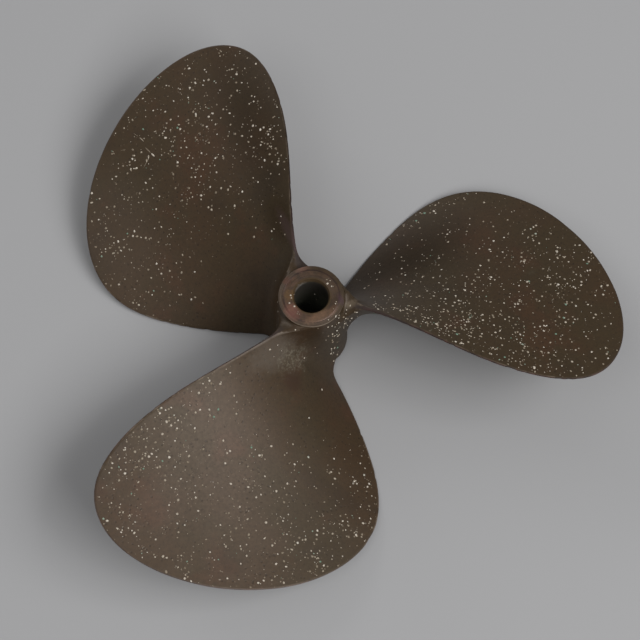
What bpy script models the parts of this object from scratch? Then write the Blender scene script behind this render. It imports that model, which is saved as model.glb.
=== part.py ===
# Ship propeller: a left-hand, fixed-pitch casting in bronze, hub and three blades in one piece.
# Metres. +Z runs along the shaft axis towards the aft end, where the shaft nut seats.
# The origin lies on the shaft axis, at the height of the casting's centre of gravity.

import math

import bmesh
import bpy
import numpy as np
from mathutils import Matrix, Vector

# Whole casting
TIP_RADIUS = 0.305           # half of the 610 mm (24 in) diameter
BLADE_COUNT = 3
FIRST_BLADE_ANGLE = 90.0     # degrees about the shaft, from +X
REFERENCE_Z = 0.0425         # where the blades' reference line meets the shaft axis

# Hub, turned about the shaft axis
HUB_LENGTH = 0.103
HUB_AFT_Z = REFERENCE_Z + 0.0094
HUB_AFT_RADIUS = 0.0322
HUB_FORWARD_RADIUS = 0.0362
FACE_RADIUS = 0.0272         # machined flat round the bore, where the shaft nut bears
FACE_STEP = 0.0004           # its height above the bevel round it
BEVEL_RADIUS = 0.0316        # outer edge of that bevel
BEVEL_DROP = 0.0007          # its depth below the face
AFT_CORNER = 0.0008
FORWARD_CORNER = 0.003
HUB_SEGMENTS = 72
CORNER_STEPS = 4

# Shaft bore, tapered 1 in 16 on diameter and widest at the forward end
BORE_AFT_RADIUS = 0.0168
BORE_TAPER = 1 / 16
MOUTH_CHAMFER = 0.0013
MOUTH_DEPTH = 0.0020

# Blade outline: half widths along the helix at shares of the tip radius
STATION_SHARES = (0.12, 0.30, 0.50, 0.70, 0.85, 0.95)
LEADING_WIDTHS = (0.1030, 0.1330, 0.1770, 0.2055, 0.1740, 0.0960)
TRAILING_WIDTHS = (0.0030, 0.0275, 0.0510, 0.0675, 0.0690, 0.0530)

# Pitch of the helix, and the backward lean of the reference line per unit radius
PITCH = 0.529
RAKE_SLOPE = -0.116
RAKE_CURVE = 0.072

# Blade sections: flat pressure face, round back, blunt edges
ROOT_THICKNESS = 0.019       # at the shaft axis, tapering straight to the tip
EDGE_THICKNESS = 0.0020      # of the edges at the tip
EDGE_ROOT_GAIN = 0.0068      # how much thicker the edges grow towards the hub
EDGE_GAIN_POWER = 6          # how late they do so
EDGE_SQUARENESS = 3.5        # 2 is a round edge, higher is flatter
LEADING_FILLET = 0.016       # radius between the blade and the hub's side, leading edge
TRAILING_FILLET = 0.025      # and at the trailing edge
FILLET_ALONG = 0.12          # share of the fillet that also lengthens the section
ROOT_SINK = 0.004            # how far the blade runs into the hub's wall
END_CLEARANCE = 0.0022       # how far the fillets stay inside the hub's two ends
CLEARANCE_SLOPE = 1.0        # how fast that limit opens outwards
CLEARANCE_SOFTNESS = 0.0012  # height over which a fillet levels off inside the limit

# Mesh steps of a blade
FILLET_ROWS = 6
RADIAL_ROWS = 32
CHORD_STEPS = 20
EDGE_CUTS = 3
SETTLE_ROUNDS = 4            # the hub tapers, so a fillet point is found in a few rounds

BRONZE_COLOUR = (0.105, 0.070, 0.045, 1.0)


def clear_scene():
    for existing in list(bpy.data.objects):
        bpy.data.objects.remove(existing, do_unlink=True)


def bronze():
    material = bpy.data.materials.new("aged_bronze")
    material.use_nodes = True
    shader = material.node_tree.nodes["Principled BSDF"]
    shader.inputs["Base Color"].default_value = BRONZE_COLOUR
    shader.inputs["Metallic"].default_value = 0.35
    shader.inputs["Roughness"].default_value = 0.55
    return material


# Outline and pitch of a blade

def outline_curve(widths):
    # A smooth curve through the stations' widths that closes round the tip like an ellipse
    travel = (np.array(STATION_SHARES) - STATION_SHARES[0]) / (1 - STATION_SHARES[0])
    fullness = np.array(widths) / np.sqrt(1 - travel ** 2)
    return np.polynomial.Polynomial.fit(travel, fullness, len(widths) - 1, domain=[0, 1])


LEADING_CURVE = outline_curve(LEADING_WIDTHS)
TRAILING_CURVE = outline_curve(TRAILING_WIDTHS)


def half_width(curve, share):
    travel = max(share - STATION_SHARES[0], 0.0) / (1 - STATION_SHARES[0])
    return float(curve(travel)) * math.sqrt(max(1 - travel ** 2, 0.0))


def rake(share):
    outward = share - STATION_SHARES[0]
    return TIP_RADIUS * (RAKE_SLOPE * outward + RAKE_CURVE * outward ** 2)


def edge_thickness(share):
    return EDGE_THICKNESS + EDGE_ROOT_GAIN * (1 - share) ** EDGE_GAIN_POWER


def section_thickness(share, across):
    middle = ROOT_THICKNESS + (EDGE_THICKNESS - ROOT_THICKNESS) * share
    edge = edge_thickness(share)
    return edge + max(middle - edge, 0.0) * max(1 - across ** 2, 0.0)


def hub_radius(height):
    down = min(max((HUB_AFT_Z - height) / HUB_LENGTH, 0.0), 1.0)
    return HUB_AFT_RADIUS + (HUB_FORWARD_RADIUS - HUB_AFT_RADIUS) * down


def between_ends(height, outward):
    # Heights near the hub level off inside its two ends
    opening = CLEARANCE_SLOPE * max(outward, 0.0) - END_CLEARANCE
    room_aft = (HUB_AFT_Z + opening - height) / CLEARANCE_SOFTNESS
    room_forward = (height - HUB_AFT_Z + HUB_LENGTH + opening) / CLEARANCE_SOFTNESS
    lowered = room_aft - np.logaddexp(0.0, room_aft)
    raised = room_forward - np.logaddexp(0.0, room_forward)
    return height + CLEARANCE_SOFTNESS * (lowered - raised)


def row_place(row, fillet, hub_side, tip):
    # Radius of a row and how far the fillet swells the section there
    if row < 1:
        return hub_side - ROOT_SINK * (1 - row), fillet
    if row <= 1 + FILLET_ROWS:
        turn = math.radians(90) * (row - 1) / FILLET_ROWS
        return hub_side + fillet * (1 - math.cos(turn)), fillet * (1 - math.sin(turn))
    travel = (row - 1 - FILLET_ROWS) / (RADIAL_ROWS - 1 - FILLET_ROWS)
    start = hub_side + fillet
    return start + (tip - start) * (1 - math.cos(math.pi * travel)) / 2, 0.0


def blade_point(row, across, depth_share):
    # row 0 at the root .. RADIAL_ROWS at the tip, across -1 leading edge .. +1 trailing edge,
    # depth_share 0 on the pressure face .. 1 on the back
    bulge = max(1 - abs(2 * depth_share - 1) ** EDGE_SQUARENESS, 0.0)
    bluntness = bulge ** (1 / EDGE_SQUARENESS)
    tip = TIP_RADIUS - EDGE_THICKNESS / 2 * (1 - bluntness)
    fillet = LEADING_FILLET + (TRAILING_FILLET - LEADING_FILLET) * ((1 + across) / 2) ** 2
    height = REFERENCE_Z
    for _ in range(SETTLE_ROUNDS):
        radius, swell = row_place(row, fillet, hub_radius(height), tip)
        share = min(radius / tip, 1.0)
        reach = swell * FILLET_ALONG
        inset = (edge_thickness(share) / 2 + reach) * (1 - bluntness)
        leading = max(half_width(LEADING_CURVE, share) + reach - inset, 0.0)
        trailing = max(half_width(TRAILING_CURVE, share) + reach - inset, 0.0)
        along = (trailing - leading) / 2 + (trailing + leading) / 2 * across
        slope = math.atan2(PITCH, math.tau * radius)
        depth = -swell + (section_thickness(share, across) + 2 * swell) * depth_share
        angle = -(along * math.cos(slope) + depth * math.sin(slope)) / radius
        height = REFERENCE_Z + rake(share) + along * math.sin(slope) - depth * math.cos(slope)
        height = between_ends(height, radius - hub_radius(height))
    return Vector((radius * math.cos(angle), radius * math.sin(angle), height))


def blade_mesh():
    bm = bmesh.new()
    bmesh.ops.create_grid(bm, x_segments=RADIAL_ROWS, y_segments=CHORD_STEPS, size=1.0)
    sheet = bmesh.ops.extrude_face_region(bm, geom=list(bm.faces))
    back = [part for part in sheet["geom"] if isinstance(part, bmesh.types.BMVert)]
    bmesh.ops.translate(bm, verts=back, vec=(0, 0, 1))
    rim = [edge for edge in bm.edges if abs(edge.verts[0].co.z - edge.verts[1].co.z) > 0.5]
    bmesh.ops.subdivide_edges(bm, edges=rim, cuts=EDGE_CUTS, use_grid_fill=True)
    for vert in bm.verts:
        vert.co = blade_point((vert.co.x + 1) / 2 * RADIAL_ROWS, vert.co.y, vert.co.z)
    bmesh.ops.remove_doubles(bm, verts=bm.verts, dist=0.00001)
    bmesh.ops.recalc_face_normals(bm, faces=bm.faces)
    mesh = bpy.data.meshes.new("blade")
    bm.to_mesh(mesh)
    bm.free()
    return mesh


# Hub

def quarter_turn(centre, width, height, start, end):
    # Points of a quarter ellipse, angles in degrees
    for step in range(CORNER_STEPS + 1):
        angle = math.radians(start + (end - start) * step / CORNER_STEPS)
        yield centre[0] + width * math.cos(angle), centre[1] + height * math.sin(angle)


def hub_profile():
    # Radius and height, down the outer side and back up through the bore
    forward_z = HUB_AFT_Z - HUB_LENGTH
    bore_forward = BORE_AFT_RADIUS + BORE_TAPER / 2 * HUB_LENGTH
    points = [(BORE_AFT_RADIUS + MOUTH_CHAMFER, HUB_AFT_Z), (FACE_RADIUS, HUB_AFT_Z)]
    points += [(FACE_RADIUS, HUB_AFT_Z - FACE_STEP)]
    points += quarter_turn((BEVEL_RADIUS, HUB_AFT_Z - BEVEL_DROP - AFT_CORNER),
                           HUB_AFT_RADIUS - BEVEL_RADIUS, AFT_CORNER, 90, 0)
    points += quarter_turn((HUB_FORWARD_RADIUS - FORWARD_CORNER, forward_z + FORWARD_CORNER),
                           FORWARD_CORNER, FORWARD_CORNER, 0, -90)
    points += [(bore_forward, forward_z), (BORE_AFT_RADIUS, HUB_AFT_Z - MOUTH_DEPTH)]
    return points


def hub_mesh():
    bm = bmesh.new()
    ring = [bm.verts.new((radius, 0, height)) for radius, height in hub_profile()]
    edges = [bm.edges.new((ring[i - 1], ring[i])) for i in range(len(ring))]
    bmesh.ops.spin(bm, geom=ring + edges, cent=(0, 0, 0), axis=(0, 0, 1), angle=math.tau,
                   steps=HUB_SEGMENTS, use_merge=True)
    bmesh.ops.remove_doubles(bm, verts=bm.verts, dist=0.00001)
    bmesh.ops.recalc_face_normals(bm, faces=bm.faces)
    mesh = bpy.data.meshes.new("hub")
    bm.to_mesh(mesh)
    bm.free()
    return mesh


def propeller():
    casting = bpy.data.objects.new("propeller_casting", hub_mesh())
    bpy.context.collection.objects.link(casting)
    casting.data.materials.append(bronze())
    blade_shape = blade_mesh()
    for index in range(BLADE_COUNT):
        blade = bpy.data.objects.new(f"blade_shape_{index + 1}", blade_shape)
        bpy.context.collection.objects.link(blade)
        turn = math.radians(FIRST_BLADE_ANGLE - index * 360 / BLADE_COUNT)
        blade.matrix_world = Matrix.Rotation(turn, 4, "Z")
        blade.hide_render = True
        blade.display_type = "WIRE"
        cast_on = casting.modifiers.new(f"cast_on_blade_{index + 1}", "BOOLEAN")
        cast_on.operation = "UNION"
        cast_on.solver = "EXACT"
        cast_on.object = blade
    casting.data.shade_smooth()
    casting.data.set_sharp_from_angle(angle=math.radians(35))


clear_scene()
propeller()
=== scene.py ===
import math
import random

import bmesh
import bpy
import numpy as np
from mathutils import Matrix, Vector, noise
from mathutils.bvhtree import BVHTree


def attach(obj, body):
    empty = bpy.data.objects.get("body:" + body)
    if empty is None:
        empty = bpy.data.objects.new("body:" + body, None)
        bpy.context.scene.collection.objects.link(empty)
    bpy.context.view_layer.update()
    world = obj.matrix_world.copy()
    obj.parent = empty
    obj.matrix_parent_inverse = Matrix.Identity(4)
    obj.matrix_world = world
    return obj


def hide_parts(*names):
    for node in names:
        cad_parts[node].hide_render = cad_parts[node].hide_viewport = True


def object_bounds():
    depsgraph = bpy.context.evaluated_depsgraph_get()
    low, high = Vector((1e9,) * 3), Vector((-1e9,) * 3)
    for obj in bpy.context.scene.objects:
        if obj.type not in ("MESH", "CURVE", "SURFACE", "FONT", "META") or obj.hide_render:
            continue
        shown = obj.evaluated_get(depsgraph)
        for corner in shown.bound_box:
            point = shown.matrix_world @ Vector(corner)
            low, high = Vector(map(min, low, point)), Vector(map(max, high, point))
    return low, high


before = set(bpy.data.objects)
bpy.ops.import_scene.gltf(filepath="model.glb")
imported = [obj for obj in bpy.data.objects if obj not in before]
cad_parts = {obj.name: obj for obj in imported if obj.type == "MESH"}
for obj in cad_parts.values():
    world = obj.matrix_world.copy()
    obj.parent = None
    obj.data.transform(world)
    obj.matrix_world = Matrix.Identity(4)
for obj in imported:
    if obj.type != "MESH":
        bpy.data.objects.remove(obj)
cadLow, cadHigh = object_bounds()
print("frame loaded, box in mm:", [round(1000 * v) for v in (*cadLow, *cadHigh)])


# Everything is in metres, +Z along the shaft towards the aft end, blade 1 along +Y

camera = {
    "place": (-0.37669, -0.79277, 2.13047),
    "turn": (22.3023, -0.1771, -25.537),     # degrees
    "lens": 131.1,
    "sensor": 36.0,
}

studio = {
    "distance": 4.5,
    # name, height and bearing in degrees, size, power
    "lights": (("key_light", 48, 288, 2.1, 78.0),
               ("side_light", 48, 324, 2.1, 58.0),
               ("left_light", 60, 204, 2.0, 19.0),
               ("back_light", 24, 108, 2.6, 44.0)),
    "ambient": (0.230, 0.230, 0.233),
    "floorColour": (0.42, 0.42, 0.425),
    "floorSize": 14.0,
}


# Hub: a turned profile with a tapered bore

hub = {
    "length": 0.103,
    "aftZ": 0.0519,
    "aftRadius": 0.0322,
    "forwardRadius": 0.0362,
    "faceRadius": 0.0272,      # machined seat of the shaft nut
    "faceStep": 0.0004,
    "bevelRadius": 0.0316,
    "bevelDrop": 0.0007,
    "aftCorner": 0.0008,
    "forwardCorner": 0.003,
    "boreRadius": 0.0168,
    "boreTaper": 1 / 16,
    "mouthChamfer": 0.0013,
    "mouthDepth": 0.0020,
    "segments": 160,
    "sideRings": 34,
    "boreRings": 10,
    "cornerSteps": 5,
}


def quarterTurn(centre, width, height, start, end):
    for step in range(hub["cornerSteps"] + 1):
        angle = math.radians(start + (end - start) * step / hub["cornerSteps"])
        yield centre[0] + width * math.cos(angle), centre[1] + height * math.sin(angle)


def stepsBetween(first, last, steps):
    for step in range(1, steps):
        part = step / steps
        yield first[0] + (last[0] - first[0]) * part, first[1] + (last[1] - first[1]) * part


def hubProfile():
    forwardZ = hub["aftZ"] - hub["length"]
    boreForward = hub["boreRadius"] + hub["boreTaper"] / 2 * hub["length"]
    mouth = (hub["boreRadius"] + hub["mouthChamfer"], hub["aftZ"])
    points = [mouth]
    points += stepsBetween(mouth, (hub["faceRadius"], hub["aftZ"]), 4)
    points += [(hub["faceRadius"] - 0.0003, hub["aftZ"]), (hub["faceRadius"], hub["aftZ"] - 0.0002)]
    points += [(hub["faceRadius"] + 0.0003, hub["aftZ"] - hub["faceStep"])]
    points += quarterTurn((hub["bevelRadius"], hub["aftZ"] - hub["bevelDrop"] - hub["aftCorner"]),
                          hub["aftRadius"] - hub["bevelRadius"], hub["aftCorner"], 90, 0)
    corner = hub["forwardCorner"]
    foot = (hub["forwardRadius"], forwardZ + corner)
    points += stepsBetween(points[-1], foot, hub["sideRings"])
    points += quarterTurn((hub["forwardRadius"] - corner, forwardZ + corner), corner, corner, 0, -90)
    points += stepsBetween(points[-1], (boreForward, forwardZ), 5)
    points += [(boreForward, forwardZ)]
    inner = (hub["boreRadius"], hub["aftZ"] - hub["mouthDepth"])
    points += stepsBetween((boreForward, forwardZ), inner, hub["boreRings"])
    points += [inner, (hub["boreRadius"] + 0.0003, hub["aftZ"] - hub["mouthDepth"] + 0.0005)]
    return points


def hubMesh():
    bm = bmesh.new()
    ring = [bm.verts.new((radius, 0, height)) for radius, height in hubProfile()]
    edges = [bm.edges.new((ring[i - 1], ring[i])) for i in range(len(ring))]
    bmesh.ops.spin(bm, geom=ring + edges, cent=(0, 0, 0), axis=(0, 0, 1), angle=math.tau,
                   steps=hub["segments"], use_merge=True)
    bmesh.ops.remove_doubles(bm, verts=bm.verts, dist=0.00001)
    bmesh.ops.recalc_face_normals(bm, faces=bm.faces)
    mesh = bpy.data.meshes.new("hub")
    bm.to_mesh(mesh)
    bm.free()
    return mesh


# Blades: a helix of constant pitch, with half widths at shares of the tip radius

blade = {
    "count": 3,
    "firstAngle": 90.0,
    "tipRadius": 0.305,
    "lineZ": 0.0425,           # where the reference line meets the shaft axis
    "shares": (0.12, 0.30, 0.50, 0.70, 0.85, 0.95),
    "leading": (0.1030, 0.1330, 0.1770, 0.2055, 0.1740, 0.0960),
    "trailing": (0.0030, 0.0275, 0.0510, 0.0675, 0.0690, 0.0530),
    "pitch": 0.529,
    "rakeSlope": -0.116,
    "rakeCurve": 0.072,
    "rootThickness": 0.019,
    "edgeThickness": 0.0020,
    "edgeRootGain": 0.0068,
    "edgeGainPower": 6,
    "edgeSquareness": 3.5,
    "leadingFillet": 0.016,
    "trailingFillet": 0.025,
    "filletAlong": 0.12,
    "rootSink": 0.004,
    "endClearance": 0.0022,
    "clearanceSoftness": 0.0012,
    "filletRows": 14,
    "rows": 150,
    "chordSteps": 60,
    "rimCuts": 4,
}

castWear = {
    "wave": 0.00022,           # slow unevenness of the cast faces
    "waveSize": 0.045,
    "nickDepth": 0.0016,       # small dents along the edges
    "nickSize": 0.006,
    "nickStart": 0.28,
    "seamRounds": 6,
    "seamReach": 0.0025,
    # lumps and hollows left by the foundry: place, radius, height
    "lumps": (((0.0362, -0.0222, 0.0480), 0.0036, 0.0013),
              ((0.0410, -0.0235, 0.0475), 0.0026, -0.0010)),
}


def outlineCurve(widths):
    travel = (np.array(blade["shares"]) - blade["shares"][0]) / (1 - blade["shares"][0])
    fullness = np.array(widths) / np.sqrt(1 - travel ** 2)
    return [float(factor) for factor in np.polyfit(travel, fullness, len(widths) - 1)]


leadingCurve = outlineCurve(blade["leading"])
trailingCurve = outlineCurve(blade["trailing"])


def halfWidth(curve, share):
    travel = max(share - blade["shares"][0], 0.0) / (1 - blade["shares"][0])
    fullness = 0.0
    for factor in curve:
        fullness = fullness * travel + factor
    return fullness * math.sqrt(max(1 - travel ** 2, 0.0))


def rake(share):
    outward = share - blade["shares"][0]
    return blade["tipRadius"] * (blade["rakeSlope"] * outward + blade["rakeCurve"] * outward ** 2)


def edgeThickness(share):
    return blade["edgeThickness"] + blade["edgeRootGain"] * (1 - share) ** blade["edgeGainPower"]


def sectionThickness(share, across):
    middle = blade["rootThickness"] + (blade["edgeThickness"] - blade["rootThickness"]) * share
    edge = edgeThickness(share)
    return edge + max(middle - edge, 0.0) * max(1 - across ** 2, 0.0)


def hubRadius(height):
    down = min(max((hub["aftZ"] - height) / hub["length"], 0.0), 1.0)
    return hub["aftRadius"] + (hub["forwardRadius"] - hub["aftRadius"]) * down


def levelled(room):
    return min(room, 0.0) - math.log1p(math.exp(-abs(room)))


def betweenEnds(height, outward):
    # Near the hub, heights level off inside its two ends
    opening = max(outward, 0.0) - blade["endClearance"]
    soft = blade["clearanceSoftness"]
    lowered = levelled((hub["aftZ"] + opening - height) / soft)
    raised = levelled((height - hub["aftZ"] + hub["length"] + opening) / soft)
    return height + soft * (lowered - raised)


def rowPlace(row, fillet, hubSide, tip):
    filletRows = blade["filletRows"]
    if row < 1:
        return hubSide - blade["rootSink"] * (1 - row), fillet
    if row <= 1 + filletRows:
        turn = math.radians(90) * (row - 1) / filletRows
        return hubSide + fillet * (1 - math.cos(turn)), fillet * (1 - math.sin(turn))
    travel = (row - 1 - filletRows) / (blade["rows"] - 1 - filletRows)
    start = hubSide + fillet
    return start + (tip - start) * (1 - math.cos(math.pi * travel)) / 2, 0.0


def nickAt(place, bladeIndex):
    bump = noise.noise(Vector((place, bladeIndex * 4.7, 0.5)) / castWear["nickSize"])
    return castWear["nickDepth"] * max(bump - castWear["nickStart"], 0.0) / (1 - castWear["nickStart"])


def bladePoint(row, across, depthShare, bladeIndex):
    # row 0 at the root, across -1 leading .. +1 trailing, depthShare 0 pressure face .. 1 back
    bulge = max(1 - abs(2 * depthShare - 1) ** blade["edgeSquareness"], 0.0)
    bluntness = bulge ** (1 / blade["edgeSquareness"])
    tip = blade["tipRadius"] - blade["edgeThickness"] / 2 * (1 - bluntness)
    lean = ((1 + across) / 2) ** 2
    fillet = blade["leadingFillet"] + (blade["trailingFillet"] - blade["leadingFillet"]) * lean
    height = blade["lineZ"]
    for _ in range(4):
        radius, swell = rowPlace(row, fillet, hubRadius(height), tip)
        share = min(radius / tip, 1.0)
        reach = swell * blade["filletAlong"]
        inset = (edgeThickness(share) / 2 + reach) * (1 - bluntness)
        leading = halfWidth(leadingCurve, share) + reach - inset
        trailing = halfWidth(trailingCurve, share) + reach - inset
        if swell == 0 and share < 0.985:
            leading -= nickAt(radius, bladeIndex)
            trailing -= nickAt(-radius, bladeIndex)
        leading = max(leading, 0.0)
        trailing = max(trailing, 0.0)
        along = (trailing - leading) / 2 + (trailing + leading) / 2 * across
        slope = math.atan2(blade["pitch"], math.tau * radius)
        depth = -swell + (sectionThickness(share, across) + 2 * swell) * depthShare
        angle = -(along * math.cos(slope) + depth * math.sin(slope)) / radius
        height = blade["lineZ"] + rake(share) + along * math.sin(slope) - depth * math.cos(slope)
        height = betweenEnds(height, radius - hubRadius(height))
    turn = bladeTurn(bladeIndex) + angle
    return Vector((radius * math.cos(turn), radius * math.sin(turn), height))


def bladeTurn(bladeIndex):
    return math.radians(blade["firstAngle"] - bladeIndex * 360 / blade["count"])


def bladeMesh(bladeIndex):
    bm = bmesh.new()
    bmesh.ops.create_grid(bm, x_segments=blade["rows"], y_segments=blade["chordSteps"], size=1.0)
    sheet = bmesh.ops.extrude_face_region(bm, geom=list(bm.faces))
    back = [part for part in sheet["geom"] if isinstance(part, bmesh.types.BMVert)]
    bmesh.ops.translate(bm, verts=back, vec=(0, 0, 1))
    rim = [edge for edge in bm.edges if abs(edge.verts[0].co.z - edge.verts[1].co.z) > 0.5]
    bmesh.ops.subdivide_edges(bm, edges=rim, cuts=blade["rimCuts"], use_grid_fill=True)
    for vert in bm.verts:
        across = math.sin(math.radians(90) * vert.co.y)      # finer towards the edges
        across = 0.55 * across + 0.45 * vert.co.y
        vert.co = bladePoint((vert.co.x + 1) / 2 * blade["rows"], across, vert.co.z, bladeIndex)
    bmesh.ops.remove_doubles(bm, verts=bm.verts, dist=0.00001)
    bmesh.ops.recalc_face_normals(bm, faces=bm.faces)
    mesh = bpy.data.meshes.new(f"blade_{bladeIndex + 1}")
    bm.to_mesh(mesh)
    bm.free()
    return mesh


def bladeCoordinates(point):
    # Nearest blade, and the point's share of the tip radius, place along the helix and depth
    radius = math.hypot(point.x, point.y)
    share = radius / blade["tipRadius"]
    slope = math.atan2(blade["pitch"], math.tau * radius)
    lift = point.z - blade["lineZ"] - rake(share)
    found = None
    for bladeIndex in range(blade["count"]):
        turned = math.atan2(point.y, point.x) - bladeTurn(bladeIndex)
        turned = (turned + math.radians(150)) % math.tau - math.radians(150)
        along = -turned * radius * math.cos(slope) + lift * math.sin(slope)
        depth = -turned * radius * math.sin(slope) - lift * math.cos(slope)
        if found is None or abs(depth) < abs(found[3]):
            found = (bladeIndex, share, along, depth)
    return found


def castBlades():
    casting = bpy.data.objects.new("cast_propeller", hubMesh())
    bpy.context.collection.objects.link(casting)
    shapes = []
    for bladeIndex in range(blade["count"]):
        shape = bpy.data.objects.new(f"blade_shape_{bladeIndex + 1}", bladeMesh(bladeIndex))
        bpy.context.collection.objects.link(shape)
        shapes.append(shape)
        joined = casting.modifiers.new(f"join_blade_{bladeIndex + 1}", "BOOLEAN")
        joined.operation = "UNION"
        joined.solver = "EXACT"
        joined.object = shape
    ready = casting.evaluated_get(bpy.context.evaluated_depsgraph_get())
    whole = bpy.data.meshes.new_from_object(ready)
    casting.modifiers.clear()
    casting.data = whole
    for shape in shapes:
        bpy.data.objects.remove(shape)
    return casting


def softenSeams(casting):
    # The fillets run smoothly into the hub's side, and the cast faces are a little uneven
    bm = bmesh.new()
    bm.from_mesh(casting.data)
    bmesh.ops.dissolve_degenerate(bm, edges=bm.edges, dist=0.00002)
    bmesh.ops.triangulate(bm, faces=bm.faces)
    bm.normal_update()
    seam = []
    for vert in bm.verts:
        radius = math.hypot(vert.co.x, vert.co.y)
        gap = radius - hubRadius(vert.co.z)
        low = hub["aftZ"] - hub["length"] + hub["forwardCorner"] * 1.3
        if -0.0006 < gap < castWear["seamReach"] and low < vert.co.z < hub["aftZ"] - 0.0024:
            seam.append(vert)
    for _ in range(castWear["seamRounds"]):
        bmesh.ops.smooth_vert(bm, verts=seam, factor=0.5, use_axis_x=True, use_axis_y=True, use_axis_z=True)
    bm.normal_update()
    for vert in bm.verts:
        radius = math.hypot(vert.co.x, vert.co.y)
        rise = min(max((radius - 0.036) / 0.012, 0.0), 1.0)
        fade = rise * min(max((blade["tipRadius"] - radius) / 0.004, 0.0), 1.0)
        wave = noise.noise(vert.co / castWear["waveSize"]) + 0.35 * noise.noise(vert.co / 0.014)
        vert.co += vert.normal * castWear["wave"] * wave * fade
        for place, reach, lumpHeight in castWear["lumps"]:
            near = (vert.co - Vector(place)).length / reach
            if near < 3:
                vert.co += vert.normal * lumpHeight * math.exp(-near ** 2)
    bm.to_mesh(casting.data)
    bm.free()


def markZones(casting):
    # How near each point is to a blade's edge, and whether it lies on the blunt rim itself
    mesh = casting.data
    nearEdge = mesh.attributes.new("nearEdge", "FLOAT", "POINT")
    onRim = mesh.attributes.new("onRim", "FLOAT", "POINT")
    for index, vert in enumerate(mesh.vertices):
        bladeIndex, share, along, depth = bladeCoordinates(vert.co)
        share = min(share, 1.0)
        leading = halfWidth(leadingCurve, share)
        trailing = halfWidth(trailingCurve, share)
        gap = min(leading + along, trailing - along, (1 - share) * blade["tipRadius"] * 1.5)
        onBlade = smoothStep(0.125, 0.155, share)
        inside = min(depth, edgeThickness(share) - depth)
        nearEdge.data[index].value = math.exp(-max(gap, 0.0) / 0.004) * onBlade
        onRim.data[index].value = smoothStep(0.00005, 0.0004, inside) * smoothStep(0.0016, 0.0004, gap) * onBlade


def smoothStep(low, high, value):
    part = min(max((value - low) / (high - low), 0.0), 1.0)
    return part * part * (3 - 2 * part)


print("modelling the casting")
casting = castBlades()
softenSeams(casting)
casting.data.shade_smooth()
casting.data.set_sharp_from_angle(angle=math.radians(50))
markZones(casting)
print("casting:", len(casting.data.polygons), "faces")


# Specks: mineral spatter dried on the metal, one low flake each

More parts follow.
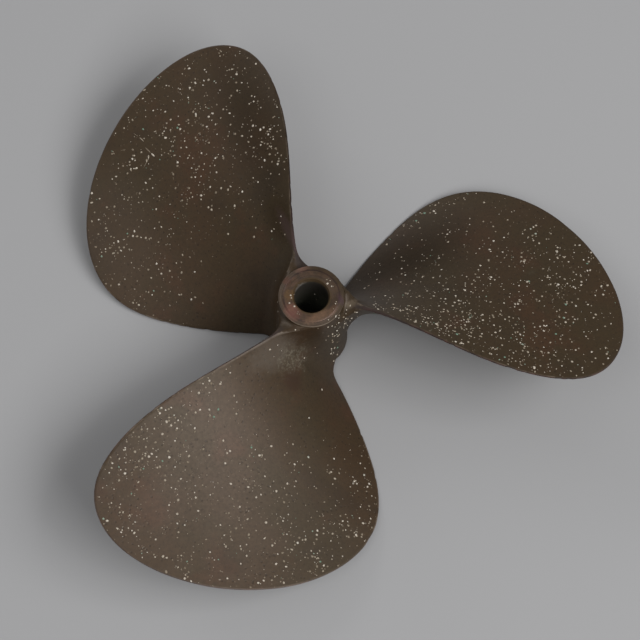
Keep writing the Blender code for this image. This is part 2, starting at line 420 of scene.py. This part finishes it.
specks = {
    "seed": 7,
    "frontCounts": (820, 1080, 860),
    "backCounts": (260, 260, 260),
    "smallest": 0.00040,
    "largest": 0.00150,
    "rarity": 2.1,                        # higher keeps more of them small
    "thickness": 0.00016,
    "clumpSize": 0.022,
    "innerStart": (0.34, 0.10, 0.30),     # share of the radius where they begin, per blade
    "outerFull": (0.62, 0.55, 0.72),
    "trailingLean": (0.25, 0.70, 0.0),    # how much they favour the trailing half
    "edgeGain": (0.5, 1.0, 1.3),
    "rootEdge": (0.25, 1.0, 0.30),        # how many lie near the trailing edge at the root
    # where they crowd or thin out: place, radius, gain
    "crowds": (((0.1500, 0.0800, -0.0520), 0.040, 1.8), ((0.2580, -0.0500, 0.0000), 0.055, 0.9),
               ((0.1100, -0.0700, 0.0380), 0.045, 0.9), ((0.2350, -0.1750, 0.0400), 0.075, -0.6),
               ((-0.0250, 0.2150, 0.0250), 0.050, 1.0), ((0.0300, 0.2100, 0.0450), 0.040, -0.4)),
    "toneLift": (0.06, 0.22, 0.06),       # how much brighter than an even spread, per blade
    "dropHeight": 0.55,                   # of the drops on the hub, as a share of their size
    "flakeHeight": 0.10,
    "groupSize": 60,                      # flakes shaped at a time
    # spatter round the roots: bearings in degrees, depths below the aft end, count, size
    "rootPatches": (((-90, -62), (0.028, 0.088), 20, 1.0),
                    ((-72, -34), (0.006, 0.050), 17, 0.9),
                    ((0, 360), (0.004, 0.080), 36, 0.8)),
    # spatter on the machined seat: bearing in degrees, radius, count
    "seatPatches": ((158, 0.0200, 4), (205, 0.0215, 4), (20, 0.0235, 4), (320, 0.0250, 4)),
    # single larger ones round the hub: place in mm, size in mm
    "single": (((19.6, 5.0, 51.9), 1.3), ((22.0, 0.8, 51.9), 0.9), ((-17.9, 9.3, 51.9), 1.0),
               ((-22.4, 2.5, 51.9), 1.0), ((-19.6, -2.7, 51.9), 1.3), ((-18.4, 6.5, 51.9), 0.8),
               ((15.6, -28.5, 42.4), 0.8), ((22.7, -29.8, 35.9), 1.0), ((14.9, -30.7, 35.1), 0.9),
               ((28.6, -27.7, 19.8), 0.7), ((30.0, -29.2, 26.0), 1.2), ((23.7, -28.9, 21.2), 0.8),
               ((2.2, -32.5, 41.7), 1.0), ((6.8, -31.9, 38.5), 1.0), ((10.3, -31.7, 31.8), 0.7),
               ((7.2, -32.6, 19.1), 1.2), ((10.0, -32.3, 10.6), 1.0), ((5.5, -34.4, -14.1), 0.9),
               ((4.3, -35.4, -24.0), 1.1), ((12.4, -33.7, -39.3), 0.9), ((6.7, -37.4, -41.4), 1.1),
               ((25.8, -24.8, 43.7), 0.9), ((30.5, -23.0, 45.8), 0.9), ((-26.2, -38.7, 5.5), 0.8),
               ((-20.1, -65.9, -24.4), 1.2), ((10.5, 14.5, 14.7), 0.6), ((12.1, 13.8, 1.2), 0.5),
               ((7.3, 17.5, -17.8), 0.6), ((-27.9, -22.6, 45.0), 0.9), ((4.2, -29.4, 51.2), 0.6)),
    # drawn-out splashes and scratches: first and last point in mm, width in mm, tone
    "streaks": (((11.2, -30.2, 50.9), (13.4, -27.8, 51.3), 1.3, 0.92),
                ((6.6, -35.2, -28.4), (8.6, -34.4, -25.8), 1.3, 0.92),
                ((29.0, -24.0, 45.6), (32.2, -22.0, 46.2), 0.7, 0.55),
                ((-78.2, 260.0, 3.6), (-74.4, 252.5, 4.1), 0.5, 0.25),
                ((-74.4, 252.5, 4.1), (-71.9, 245.5, 4.4), 1.2, 0.50),
                ((-73.7, 240.4, 3.4), (-70.8, 231.0, 3.5), 1.1, 0.12),
                ((-70.6, 230.6, 3.5), (-69.0, 226.0, 3.5), 1.8, 0.90),
                ((-73.6, 230.4, 2.3), (-75.6, 226.4, 1.9), 1.2, 0.80),
                ((-75.6, 226.4, 1.9), (-83.9, 221.2, -1.8), 0.5, 0.35),
                ((-97.3, 249.8, -3.0), (-90.2, 247.9, -1.1), 0.4, 0.25)),
}


def speckDensity(bladeIndex, share, across, spot):
    outward = smoothStep(specks["innerStart"][bladeIndex], specks["outerFull"][bladeIndex], share)
    lean = specks["trailingLean"][bladeIndex]
    sideways = 1 - lean + lean * (1 + across)
    edge = 1 + specks["edgeGain"][bladeIndex] * abs(across) ** 3
    root = specks["rootEdge"][bladeIndex] * smoothStep(0.2, 1.0, across) * (1 - outward)
    clump = 0.55 + 1.5 * max(noise.noise(spot / specks["clumpSize"] + Vector((3, 8, 5))) + 0.25, 0.0)
    for place, reach, gain in specks["crowds"]:
        clump *= 1 + gain * smoothStep(1.0, 0.3, (spot - Vector(place)).length / reach)
    return (outward * sideways * edge + root) * clump


def rowAtShare(share):
    # Row of the blade's grid that lies at this share of the radius, outside the fillet
    start = hub["aftRadius"] + 0.0035 + blade["trailingFillet"]
    travel = (share * blade["tipRadius"] - start) / (blade["tipRadius"] - start)
    travel = math.acos(1 - 2 * min(max(travel, 0.0), 1.0)) / math.pi
    return 1 + blade["filletRows"] + travel * (blade["rows"] - 1 - blade["filletRows"])


def surfaceFrame(row, across, side, bladeIndex):
    here = bladePoint(row, across, side, bladeIndex)
    outward = bladePoint(row + 0.5, across, side, bladeIndex) - here
    chordwise = bladePoint(row, across + 0.02, side, bladeIndex) - here
    normal = outward.cross(chordwise).normalized()
    towards = Vector((0, 0, 1)) if side < 0.5 else Vector((0, 0, -1))
    if normal.dot(towards) < 0:
        normal = -normal
    return here, normal


def speckShape(place, normal, chance, larger=1.0, fixed=None, height=0.10, lift=0.0):
    # The matrix that shapes and places a flake, its centre, and its tone from faint to bright
    size = specks["smallest"] + (specks["largest"] - specks["smallest"]) * chance.random() ** specks["rarity"]
    size = fixed if fixed else size * larger
    stretch = chance.uniform(1.0, 1.22)
    spin = Matrix.Rotation(chance.uniform(0, math.tau), 4, "Z")
    upright = normal.to_track_quat("Z", "Y").to_matrix().to_4x4()
    flat = Matrix.Diagonal((size * stretch, size / stretch, specks["thickness"] + size * height, 1.0))
    tone = chance.random() if not fixed else chance.uniform(0.68, 0.94)
    tone += lift * (1 - tone) * smoothStep(1.0, 0.9, tone)
    return Matrix.Translation(place) @ upright @ spin @ flat, place, tone


def bladeSpecks(chance):
    shapes = []
    for side, counts in ((0.0, specks["frontCounts"]), (1.0, specks["backCounts"])):
        for bladeIndex, count in enumerate(counts):
            made = 0
            while made < count:
                share = chance.uniform(0.2, 0.992)
                across = chance.uniform(-0.985, 0.985)
                width = halfWidth(leadingCurve, share) + halfWidth(trailingCurve, share)
                row = rowAtShare(share)
                here = bladePoint(row, across, side, bladeIndex)
                if chance.random() * 3.2 * 0.28 > speckDensity(bladeIndex, share, across, here) * width:
                    continue
                place, normal = surfaceFrame(min(row, blade["rows"] - 1), across, side, bladeIndex)
                lift = specks["toneLift"][bladeIndex]
                shapes.append(speckShape(place, normal, chance, height=specks["flakeHeight"], lift=lift))
                made += 1
    return shapes


def hubSpecks(chance, surface):
    shapes = []
    for bearings, depths, count, larger in specks["rootPatches"]:
        for _ in range(count):
            angle = math.radians(chance.uniform(*bearings))
            height = hub["aftZ"] - chance.uniform(*depths)
            outward = Vector((math.cos(angle), math.sin(angle), 0))
            start = outward * 0.058 + Vector((0, 0, height))
            place, normal = surface.ray_cast(start, -outward)[:2]
            if place is not None and normal.dot(outward) > 0.2:
                shapes.append(speckShape(place, normal, chance, larger, height=specks["dropHeight"], lift=0.2))
    for bearing, radius, count in specks["seatPatches"]:
        for _ in range(count):
            angle = math.radians(bearing + chance.gauss(0, 11))
            out = radius + chance.gauss(0, 0.0012)
            place = Vector((out * math.cos(angle), out * math.sin(angle), hub["aftZ"]))
            shapes.append(speckShape(place, Vector((0, 0, 1)), chance, 0.6))
    for place, size in specks["single"]:
        found, normal = surface.find_nearest(Vector(place) * 0.001)[:2]
        height = specks["dropHeight"] if normal.z < 0.7 else specks["flakeHeight"]
        shapes.append(speckShape(found, normal, chance, fixed=size * 0.001, height=height))
    return shapes


def streakShapes(surface):
    shapes = []
    for first, last, width, tone in specks["streaks"]:
        first, last = Vector(first) * 0.001, Vector(last) * 0.001
        middle, normal = surface.find_nearest((first + last) / 2)[:2]
        along = last - first
        side = normal.cross(along).normalized()
        turned = Matrix((side.cross(normal), side, normal)).transposed().to_4x4()
        flat = Matrix.Diagonal((along.length * 0.55, width * 0.0005, specks["thickness"], 1.0))
        shapes.append((Matrix.Translation(middle) @ turned @ flat, middle, tone))
    return shapes


def spatter():
    chance = random.Random(specks["seed"])
    surface = BVHTree.FromObject(casting, bpy.context.evaluated_depsgraph_get())
    shapes = bladeSpecks(chance) + hubSpecks(chance, surface) + streakShapes(surface)
    mesh = bpy.data.meshes.new("mineral_specks")
    whole = bmesh.new()
    tones = []
    for first in range(0, len(shapes), specks["groupSize"]):
        group = bmesh.new()
        for matrix, place, tone in shapes[first:first + specks["groupSize"]]:
            flake = bmesh.ops.create_icosphere(group, subdivisions=1, radius=1.0, matrix=matrix)["verts"]
            for vert in flake:
                vert.co += (vert.co - place) * chance.uniform(-0.28, 0.22)
            tones += [tone] * len(flake)
        group.to_mesh(mesh)
        group.free()
        whole.from_mesh(mesh)
    whole.to_mesh(mesh)
    whole.free()
    mesh.attributes.new("tone", "FLOAT", "POINT").data.foreach_set("value", tones)
    piece = bpy.data.objects.new("mineral_specks", mesh)
    bpy.context.collection.objects.link(piece)
    mesh.shade_smooth()
    print("specks:", len(shapes), "flakes,", len(mesh.polygons), "faces")
    return piece


mineralSpecks = spatter()


# Finishes

class Wire:
    # A socket that takes Python's operators as Math nodes
    def __init__(self, tree, socket):
        self.tree = tree
        self.socket = socket

    def maths(self, operation, *values):
        return node(self.tree, "ShaderNodeMath", {"operation": operation}, dict(enumerate(values)))

    def __add__(self, other):
        return self.maths("ADD", self, other)

    def __radd__(self, other):
        return self.maths("ADD", other, self)

    def __sub__(self, other):
        return self.maths("SUBTRACT", self, other)

    def __rsub__(self, other):
        return self.maths("SUBTRACT", other, self)

    def __mul__(self, other):
        return self.maths("MULTIPLY", self, other)

    def __rmul__(self, other):
        return self.maths("MULTIPLY", other, self)

    def __truediv__(self, other):
        return self.maths("DIVIDE", self, other)

    def __rtruediv__(self, other):
        return self.maths("DIVIDE", other, self)

    def __pow__(self, other):
        return self.maths("POWER", self, other)

    def between(self, low, high):
        # 0 below low, 1 above high, smooth in between
        return node(self.tree, "ShaderNodeMapRange", {"interpolation_type": "SMOOTHSTEP"},
                    {"Value": self, "From Min": low, "From Max": high})


def node(tree, kind, settings, inputs, output=0):
    made = tree.nodes.new(kind)
    for name, value in settings.items():
        if name == "stops":
            ramp = made.color_ramp
            while len(ramp.elements) < len(value):
                ramp.elements.new(1.0)
            for element, (place, colour) in zip(ramp.elements, value):
                element.position = place
                element.color = (*colour, 1.0)
        else:
            setattr(made, name, value)
    for name, value in inputs.items():
        socket = made.inputs[name]
        if isinstance(value, Wire):
            tree.links.new(value.socket, socket)
        elif value is not None:
            socket.default_value = value
    return Wire(tree, made.outputs[output])


def mixColours(tree, share, first, second, blendType="MIX"):
    made = tree.nodes.new("ShaderNodeMix")
    made.data_type = "RGBA"
    made.blend_type = blendType
    for socket, value in ((made.inputs[0], share), (made.inputs[6], first), (made.inputs[7], second)):
        if isinstance(value, Wire):
            tree.links.new(value.socket, socket)
        elif isinstance(value, tuple):
            socket.default_value = (*value, 1.0)
        else:
            socket.default_value = value
    return Wire(tree, made.outputs[2])


def newMaterial(name):
    material = bpy.data.materials.new(name)
    material.use_nodes = True
    tree = material.node_tree
    shader = tree.nodes["Principled BSDF"]
    coordinates = node(tree, "ShaderNodeTexCoord", {}, {}, "Object")
    return material, tree, shader, coordinates


def cloud(tree, coordinates, size, detail=2.0, roughness=0.5, shift=(0, 0, 0), stretch=(1, 1, 1)):
    # Noise whose features are about this size in metres
    placed = node(tree, "ShaderNodeMapping", {}, {"Vector": coordinates, "Location": shift, "Scale": stretch})
    return node(tree, "ShaderNodeTexNoise", {}, {"Vector": placed, "Scale": 1 / size, "Detail": detail,
                                                  "Roughness": roughness})


def farFrom(tree, coordinates, centre, radii):
    # Distance from a place, 1 on an ellipsoid of these radii round it
    apart = node(tree, "ShaderNodeVectorMath", {"operation": "SUBTRACT"}, {0: coordinates, 1: centre})
    apart = node(tree, "ShaderNodeVectorMath", {"operation": "DIVIDE"}, {0: apart, 1: radii})
    return node(tree, "ShaderNodeVectorMath", {"operation": "LENGTH"}, {0: apart}, "Value")


def dots(tree, coordinates, apart, inner, outer):
    # Round spots about this far apart, and a random number for each one
    settings = {"Vector": coordinates, "Scale": 1 / apart}
    gap = node(tree, "ShaderNodeTexVoronoi", {"feature": "F1"}, settings, "Distance")
    return 1 - gap.between(inner, outer), Wire(tree, gap.socket.node.outputs["Color"])


bronzeFinish = {
    "brown": (0.0610, 0.0345, 0.0150),
    "olive": (0.0535, 0.0345, 0.0145),
    "reddish": (0.0820, 0.0340, 0.0150),
    "dark": (0.0290, 0.0180, 0.0095),
    "pit": (0.0190, 0.0110, 0.0045),
    "rim": (0.0360, 0.0240, 0.0225),
    "copper": (0.190, 0.090, 0.070),
    # pale worn lines, and painted highlights along the edges
    "wornLineAndHighlight": (0.210, 0.165, 0.120),
    "seat": (0.190, 0.110, 0.072),
    "seatDark": (0.085, 0.060, 0.045),
    "bore": (0.052, 0.046, 0.038),
    # paler deep in the bore: painted light that lifts the dark there
    "boreDeepPaintedLight": (0.150, 0.155, 0.110),
    "boreMouth": (0.105, 0.068, 0.032),
    "groove": (0.0420, 0.0240, 0.0230),
    "film": (0.150, 0.150, 0.110),
    "dust": (0.260, 0.205, 0.145),
    "roughness": 0.47,
    "metallic": 0.15,
    "sheen": (1.0, 0.93, 0.875),          # tint of what the surface reflects
    # barer metal, which reflects warmer: centre, radii, gain
    "bare": (((0.0360, 0.1600, 0.0480), (0.052, 0.165, 0.080), 0.52),
             ((0.0080, 0.0880, 0.0447), (0.022, 0.045, 0.030), 0.35),
             ((0.1000, 0.0250, -0.0250), (0.110, 0.065, 0.060), 0.50)),
    # marks of their own: centre, radii, colour, strength, how ragged, how grainy
    "marks": (
        # blade 3's root: a paler stretch, a patch of green bloom and a brown stain
        ((-0.0580, -0.0330, 0.0400), (0.036, 0.024, 0.026), (0.150, 0.125, 0.100), 0.45, 0.5, 0.0),
        ((-0.0400, -0.0400, 0.0190), (0.024, 0.017, 0.026), (0.200, 0.176, 0.130), 0.62, 1.2, 0.75),
        ((-0.0470, -0.0560, 0.0080), (0.017, 0.015, 0.018), (0.0430, 0.0205, 0.0090), 0.85, 0.25, 0.0),
        # painted shade on the hub's side below the aft end
        ((-0.0130, -0.0350, 0.0300), (0.016, 0.010, 0.020), (0.0380, 0.0220, 0.0100), 0.35, 0.6, 0.0),
        # blade 2's root: a painted highlight, tan, on the lump there and painted shade in the hollow beside it
        ((0.0320, -0.0222, 0.0470), (0.009, 0.005, 0.006), (0.170, 0.130, 0.088), 0.75, 0.5, 0.0),
        ((0.0400, -0.0280, 0.0440), (0.007, 0.005, 0.007), (0.0240, 0.0145, 0.0100), 0.75, 0.5, 0.0),
        # painted shade over blade 1's trailing half and blade 2's leading inner part, and painted light on blade
        # 1's leading side
        ((0.0400, 0.1900, 0.0480), (0.060, 0.130, 0.080), (0.0220, 0.0140, 0.0065), 0.50, 0.15, 0.0),
        ((-0.1350, 0.1850, -0.0200), (0.060, 0.090, 0.080), (0.1000, 0.0740, 0.0520), 0.24, 0.2, 0.0),
        ((0.1200, 0.0380, -0.0300), (0.095, 0.050, 0.060), (0.0200, 0.0120, 0.0055), 0.50, 0.15, 0.0),
        # blade 1's flare and the rim above it
        ((0.0105, 0.0700, 0.0480), (0.007, 0.045, 0.012), (0.1150, 0.0700, 0.0720), 0.40, 0.4, 0.0),
        ((0.0066, 0.0399, 0.0453), (0.009, 0.011, 0.011), (0.0260, 0.0190, 0.0190), 0.70, 0.4, 0.0),
        # the seat: copper and pink on the left, golden beside the bore, purple on the right
        ((-0.0235, -0.0070, 0.0517), (0.010, 0.012, 0.004), (0.360, 0.150, 0.115), 0.50, 0.5, 0.2),
        ((-0.0190, 0.0100, 0.0519), (0.008, 0.008, 0.004), (0.260, 0.145, 0.055), 0.55, 0.9, 0.3),
        ((-0.0030, -0.0225, 0.0519), (0.019, 0.006, 0.004), (0.340, 0.200, 0.120), 0.55, 0.7, 0.2),
        ((-0.0150, 0.0255, 0.0513), (0.006, 0.007, 0.004), (0.105, 0.042, 0.026), 0.65, 0.6, 0.0),
        ((0.0040, 0.0305, 0.0513), (0.010, 0.005, 0.004), (0.240, 0.125, 0.092), 0.60, 0.7, 0.3),
        ((0.0240, -0.0150, 0.0514), (0.004, 0.010, 0.003), (0.070, 0.036, 0.044), 0.65, 0.6, 0.0),
        ((0.0210, 0.0020, 0.0519), (0.007, 0.016, 0.003), (0.120, 0.085, 0.060), 0.55, 0.8, 0.0),
        ((-0.0060, 0.0150, 0.0480), (0.012, 0.006, 0.004), (0.300, 0.290, 0.280), 0.55, 0.9, 0.4),
    ),
}


def finishBronze():
    look = bronzeFinish
    material, tree, shader, coordinates = newMaterial("weathered_bronze")
    split = node(tree, "ShaderNodeSeparateXYZ", {}, {"Vector": coordinates}).socket.node
    x, y, z = (Wire(tree, split.outputs[axis]) for axis in "XYZ")
    radius = (x * x + y * y) ** 0.5
    nearEdge = node(tree, "ShaderNodeAttribute", {"attribute_name": "nearEdge"}, {}, "Fac")
    onRim = node(tree, "ShaderNodeAttribute", {"attribute_name": "onRim"}, {}, "Fac")

    broad = cloud(tree, coordinates, 0.085, 3.0, 0.55)
    red = cloud(tree, coordinates, 0.060, 3.0, 0.6, shift=(0.31, 0.12, 0.7)).between(0.52, 0.68)
    darkening = cloud(tree, coordinates, 0.050, 4.0, 0.6, shift=(0.9, 0.4, 0.1)).between(0.52, 0.75)
    fine = cloud(tree, coordinates, 0.0032, 4.0, 0.70)
    grain = cloud(tree, coordinates, 0.0011, 2.0, 0.6)

    colour = mixColours(tree, broad.between(0.38, 0.62), look["brown"], look["olive"])
    colour = mixColours(tree, red * 0.48, colour, look["reddish"])
    colour = mixColours(tree, darkening * 0.45, colour, look["dark"])
    colour = mixColours(tree, fine.between(0.34, 0.72) * 0.42, colour, look["dark"])

    # Small dark pits, pale dust spots and a faint mineral film
    pitted = cloud(tree, coordinates, 0.030, 3.0, 0.6, shift=(0.1, 0.8, 0.4)).between(0.40, 0.58)
    pits = dots(tree, coordinates, 0.0050, 0.14, 0.26)[0] * pitted
    pocks = dots(tree, coordinates, 0.0028, 0.14, 0.30)[0] * (1 - pitted * 0.6)
    colour = mixColours(tree, pits * 0.65, colour, look["pit"])
    colour = mixColours(tree, pocks * 0.45, colour, look["pit"])
    spot, chosen = dots(tree, coordinates, 0.0036, 0.09, 0.20)
    outward = radius.between(0.075, 0.150)
    dust = spot * chosen.between(0.44, 0.50) * (0.3 + 0.7 * outward) * (0.35 + pitted)
    colour = mixColours(tree, dust * 0.38, colour, look["dust"])
    film = cloud(tree, coordinates, 0.020, 5.0, 0.7, shift=(0.5, 0.9, 0.2)).between(0.58, 0.82)
    colour = mixColours(tree, film * 0.12, colour, look["film"])

    # Blunt rims are dark purple brown, worn to copper here and there, with a pale line at the face edge that is
    # partly wear and partly a painted highlight
    wornNoise = cloud(tree, coordinates, 0.012, 4.0, 0.7, shift=(0.2, 0.5, 0.3))
    colour = mixColours(tree, onRim * 0.88, colour, look["rim"])
    worn = (nearEdge * (0.25 + wornNoise)).between(0.62, 0.90) * (0.25 + 0.75 * radius.between(0.090, 0.150))
    colour = mixColours(tree, worn * 0.55, colour, look["copper"])
    scuffed = cloud(tree, coordinates, 0.030, 4.0, 0.7, shift=(0.8, 0.3, 0.6)).between(0.46, 0.60)
    line = nearEdge.between(0.62, 0.86) * (1 - onRim) * wornNoise.between(0.36, 0.54)
    colour = mixColours(tree, line * (0.25 + 0.75 * scuffed), colour, look["wornLineAndHighlight"])

    # The machined seat round the bore, and the bore's dark wall, paler deep inside with painted light
    turned = node(tree, "ShaderNodeCombineXYZ", {}, {"X": radius * 900, "Y": x * 55, "Z": y * 55})
    streaks = node(tree, "ShaderNodeTexNoise", {}, {"Vector": turned, "Scale": 1.0, "Detail": 4.0})
    onEnd = z.between(hub["aftZ"] - 0.0022, hub["aftZ"] - 0.0010) * (1 - radius.between(0.0326, 0.0334))
    seat = (1 - radius.between(0.0274, 0.0300)) * onEnd
    groove = radius.between(0.0274, 0.0279) * (1 - radius.between(0.0281, 0.0287)) * onEnd
    seatStain = cloud(tree, coordinates, 0.013, 5.0, 0.65, shift=(0.7, 0.1, 0.9)).between(0.36, 0.64)
    seatColour = mixColours(tree, seatStain, look["seat"], look["seatDark"])
    leftwards = 1 - x.between(-0.006, 0.022)
    colour = mixColours(tree, onEnd * (0.12 + 0.40 * leftwards), colour, look["seatDark"])
    colour = mixColours(tree, seat * (0.50 + 0.32 * leftwards), colour, seatColour)
    patchy = cloud(tree, coordinates, 0.009, 4.0, 0.65, shift=(0.2, 0.6, 0.1)).between(0.40, 0.62)
    bright = onEnd * streaks.between(0.52, 0.70) * (0.25 + 0.75 * patchy)
    colour = mixColours(tree, bright * 0.30, colour, look["wornLineAndHighlight"])
    dull = onEnd * (1 - streaks.between(0.34, 0.48)) * (1 - 0.7 * patchy)
    colour = mixColours(tree, dull * 0.45, colour, look["dark"])
    colour = mixColours(tree, groove * (0.35 + 0.4 * leftwards), colour, look["dark"])
    step = radius.between(0.0264, 0.0268) * (1 - radius.between(0.0275, 0.0279)) * onEnd
    colour = mixColours(tree, step * 0.75, colour, look["groove"])
    # Painted highlight along the lower left of the aft end's outer edge
    lowerEdgeHighlight = radius.between(0.0314, 0.0318) * (1 - y.between(-0.020, -0.006)) * leftwards
    colour = mixColours(tree, onEnd * lowerEdgeHighlight * 0.75, colour, look["wornLineAndHighlight"])
    insideBore = 1 - radius.between(0.0186, 0.0204)
    wall = insideBore * (1 - z.between(hub["aftZ"] - 0.0030, hub["aftZ"] - 0.0015))
    mouth = insideBore * z.between(hub["aftZ"] - 0.0052, hub["aftZ"] - 0.0040)
    # Painted light: the wall turns paler deep inside the bore
    wallColour = mixColours(tree, z.between(-0.020, 0.036), look["boreDeepPaintedLight"], look["bore"])
    colour = mixColours(tree, wall, colour, wallColour)
    colour = mixColours(tree, mouth * 0.75, colour, look["boreMouth"])

    # Painted shade round the hub's side and the blade roots next to it, fading outwards
    corner = (1 - radius.between(0.0345, 0.0640)) * radius.between(0.0322, 0.0330)
    colour = mixColours(tree, corner * 0.18, colour, look["dark"])

    grainy = cloud(tree, coordinates, 0.0024, 3.0, 0.6, shift=(0.6, 0.2, 0.4)).between(0.46, 0.62)
    for centre, radii, markColour, strength, ragged, grains in look["marks"]:
        far = farFrom(tree, coordinates, centre, radii)
        torn = (cloud(tree, coordinates, min(radii) * 0.5, 5.0, 0.75, shift=centre) - 0.5) * ragged * 2.2
        share = (1 - (far + torn).between(0.25, 1.05)) * strength
        if grains:
            share = share * (1 - grains + grains * grainy)
        colour = mixColours(tree, share, colour, markColour)

    tree.links.new(colour.socket, shader.inputs["Base Color"])
    roughness = look["roughness"] + (fine - 0.5) * 0.18 + (broad - 0.5) * 0.16 - seat * 0.08
    tree.links.new(roughness.socket, shader.inputs["Roughness"])
    metallic = look["metallic"] + seat * 0.35 + worn * 0.3
    for centre, radii, gain in look["bare"]:
        metallic = metallic + (1 - farFrom(tree, coordinates, centre, radii).between(0.10, 1.05)) * gain
    tree.links.new(metallic.socket, shader.inputs["Metallic"])
    height = fine * 0.00008 + grain * 0.00003 - pits * 0.00015
    bump = node(tree, "ShaderNodeBump", {}, {"Height": height, "Strength": 0.55, "Distance": 1.0}, "Normal")
    tree.links.new(bump.socket, shader.inputs["Normal"])
    shader.inputs["Specular Tint"].default_value = (*look["sheen"], 1.0)
    return material


speckFinish = {
    # tone of a flake, and its colour
    "stops": ((0.0, (0.215, 0.165, 0.115)), (0.35, (0.330, 0.270, 0.195)), (0.62, (0.520, 0.445, 0.345)),
              (0.90, (0.800, 0.720, 0.610)), (0.955, (0.780, 0.720, 0.620)), (0.975, (0.210, 0.340, 0.250))),
    "roughness": 0.85,
}


def finishSpecks():
    material, tree, shader, coordinates = newMaterial("dried_minerals")
    tone = node(tree, "ShaderNodeAttribute", {"attribute_name": "tone"}, {}, "Fac")
    colour = node(tree, "ShaderNodeValToRGB", {"stops": speckFinish["stops"]}, {"Fac": tone})
    crust = cloud(tree, coordinates, 0.0007, 2.0, 0.6)
    colour = mixColours(tree, crust.between(0.35, 0.65) * 0.25, colour, speckFinish["stops"][0][1])
    tree.links.new(colour.socket, shader.inputs["Base Color"])
    shader.inputs["Roughness"].default_value = speckFinish["roughness"]
    return material


casting.data.materials.clear()
casting.data.materials.append(finishBronze())
mineralSpecks.data.materials.append(finishSpecks())
print("finishes made")

for piece in (casting, mineralSpecks):
    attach(piece, "root")
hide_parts("propeller_casting")


# Floor, light and camera

def layFloor():
    bm = bmesh.new()
    bmesh.ops.create_grid(bm, x_segments=1, y_segments=1, size=studio["floorSize"] / 2)
    bmesh.ops.translate(bm, verts=bm.verts, vec=(0, 0, cadLow[2]))
    mesh = bpy.data.meshes.new("studio_floor")
    bm.to_mesh(mesh)
    bm.free()
    floor = bpy.data.objects.new("studio_floor", mesh)
    bpy.context.collection.objects.link(floor)
    material, tree, shader, coordinates = newMaterial("pale_floor")
    shader.inputs["Base Color"].default_value = (*studio["floorColour"], 1.0)
    shader.inputs["Roughness"].default_value = 0.9
    mesh.materials.append(material)


def softLight(name, height, bearing, size, power):
    level = studio["distance"] * math.cos(math.radians(height))
    place = (level * math.cos(math.radians(bearing)), level * math.sin(math.radians(bearing)),
             studio["distance"] * math.sin(math.radians(height)))
    light = bpy.data.lights.new(name, "AREA")
    light.shape = "SQUARE"
    light.size = size
    light.energy = power
    lamp = bpy.data.objects.new(name, light)
    lamp.location = place
    lamp.rotation_euler = Vector(place).to_track_quat("Z", "Y").to_euler()
    bpy.context.collection.objects.link(lamp)


def setCamera():
    data = bpy.data.cameras.new("camera")
    data.lens = camera["lens"]
    data.sensor_width = camera["sensor"]
    seat = bpy.data.objects.new("camera", data)
    seat.location = camera["place"]
    seat.rotation_euler = [math.radians(turn) for turn in camera["turn"]]
    bpy.context.collection.objects.link(seat)
    bpy.context.scene.camera = seat


layFloor()
for settings in studio["lights"]:
    softLight(*settings)
world = bpy.data.worlds.new("studio_air")
world.use_nodes = True
world.node_tree.nodes["Background"].inputs["Color"].default_value = (*studio["ambient"], 1.0)
bpy.context.scene.world = world
bpy.context.scene.view_settings.view_transform = "Standard"
setCamera()
print("studio ready")
